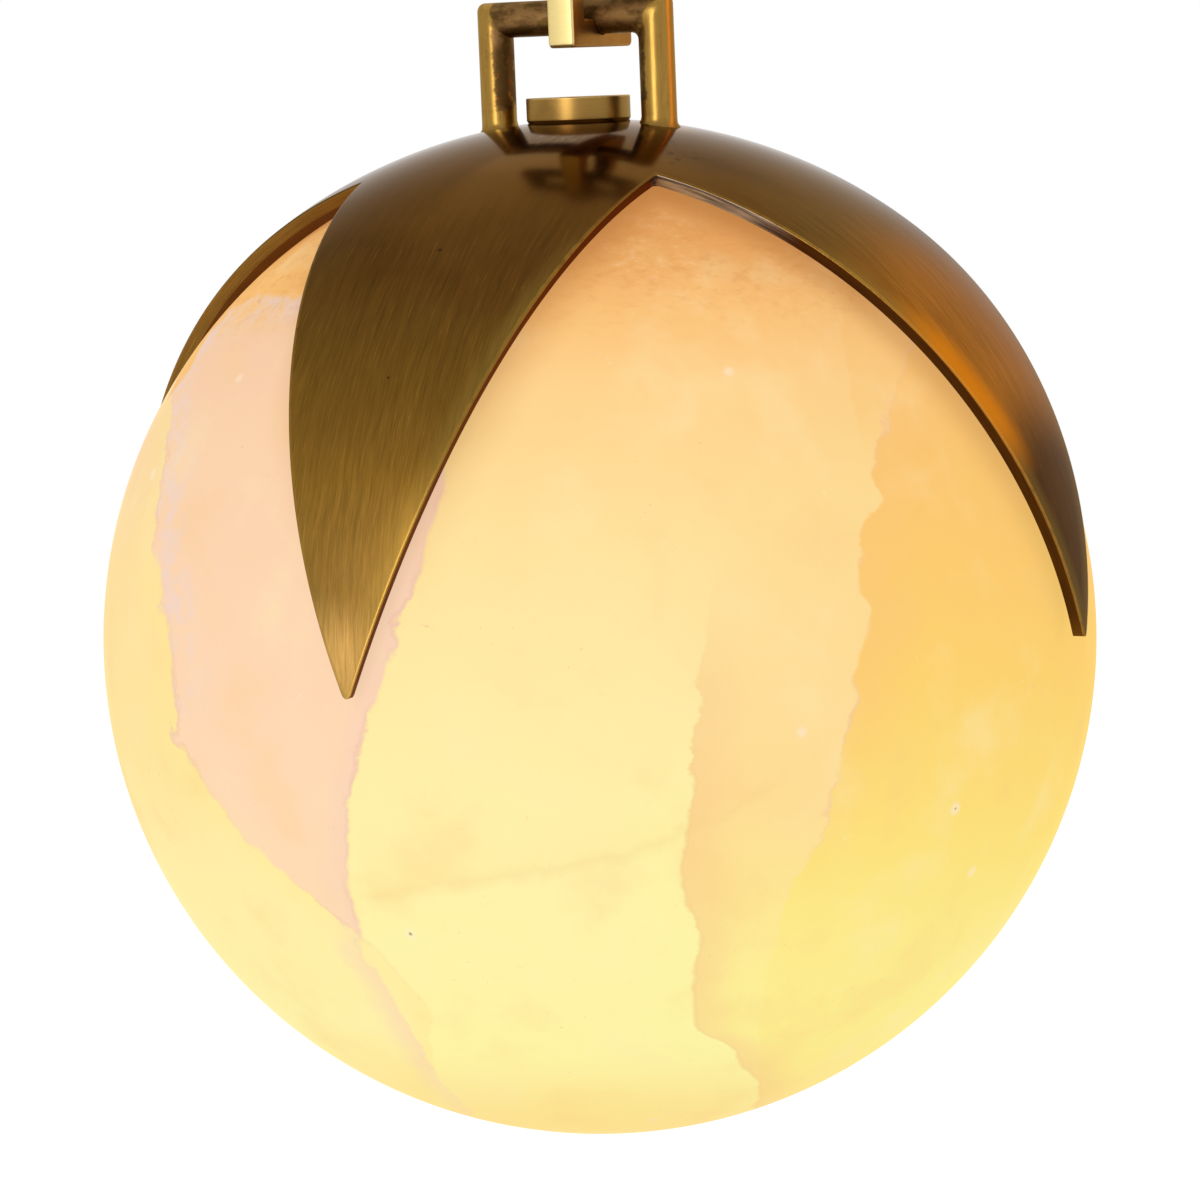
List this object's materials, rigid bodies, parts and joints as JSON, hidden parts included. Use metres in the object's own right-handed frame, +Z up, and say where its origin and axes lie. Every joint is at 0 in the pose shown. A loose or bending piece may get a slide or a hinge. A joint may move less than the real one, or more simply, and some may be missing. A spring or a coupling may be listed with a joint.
{
  "type": "alabaster globe pendant",
  "caption": "Lit alabaster globe under a brass cap of pointed petals, hung by a rod yoke, an oblong link and a stem loop.",
  "frame": {"origin": "centre of the stem boss's top face, in the mouth of the suspension thread", "axes": "+Z up along the pendant's axis; +X along the yoke's bar; the petals point along +X, -X, +Y and -Y"},
  "size_m": [0.3132, 0.3132, 0.4327],
  "materials": {
    "alabaster": "polished alabaster, lit from inside",
    "aged_brass": "brushed along the petals and chemically aged",
    "turned_brass": "fine turned lines, aged",
    "rod_brass": "drawn rod, brazed and aged",
    "link_brass": "brushed, little aged",
    "zinc_steel": "zinc plated",
    "seal_rubber": "matt",
    "white_plastic": "matt, heat resistant",
    "nickel": "pressed and plated",
    "bulb_glass": "opal"
  },
  "bodies": {
    "hanger": {"stem_boss": "turned_brass", "stem_loop": "rod_brass"},
    "link": {"link": "link_brass"},
    "pendant": {"petal_cap": "aged_brass", "cable_collar": "turned_brass", "yoke": "rod_brass", "globe": "alabaster", "threaded_tube": "zinc_steel", "cap_washer": "zinc_steel", "cap_nut": "zinc_steel", "seat_nut": "zinc_steel", "strap_washer": "zinc_steel", "strap_nut": "zinc_steel", "lamp_nut_upper": "zinc_steel", "lamp_nut_lower": "zinc_steel", "seat_plate": "zinc_steel", "lip_gasket": "seal_rubber", "lifting_strap": "zinc_steel", "strap_pad_west": "seal_rubber", "strap_pad_east": "seal_rubber", "lamp_plate": "zinc_steel", "holder_screws": "zinc_steel", "terminal_block": "white_plastic", "terminal_screw": "zinc_steel", "lampholder_1": "white_plastic", "bulb_base_1": "nickel", "bulb_glass_1": "bulb_glass", "lampholder_2": "white_plastic", "bulb_base_2": "nickel", "bulb_glass_2": "bulb_glass", "lampholder_3": "white_plastic", "bulb_base_3": "nickel", "bulb_glass_3": "bulb_glass", "lampholder_4": "white_plastic", "bulb_base_4": "nickel", "bulb_glass_4": "bulb_glass"}
  },
  "joints": [
    {"name": "link_swing", "type": "hinge", "parent": "hanger", "child": "link", "pos_m": [0, 0, -0.054], "axis": [1, 0, 0], "range_deg": [-40, 40]},
    {"name": "pendant_swing", "type": "hinge", "parent": "link", "child": "pendant", "pos_m": [0, 0, -0.0957], "axis": [1, 0, 0], "range_deg": [-40, 40]}
  ]
}
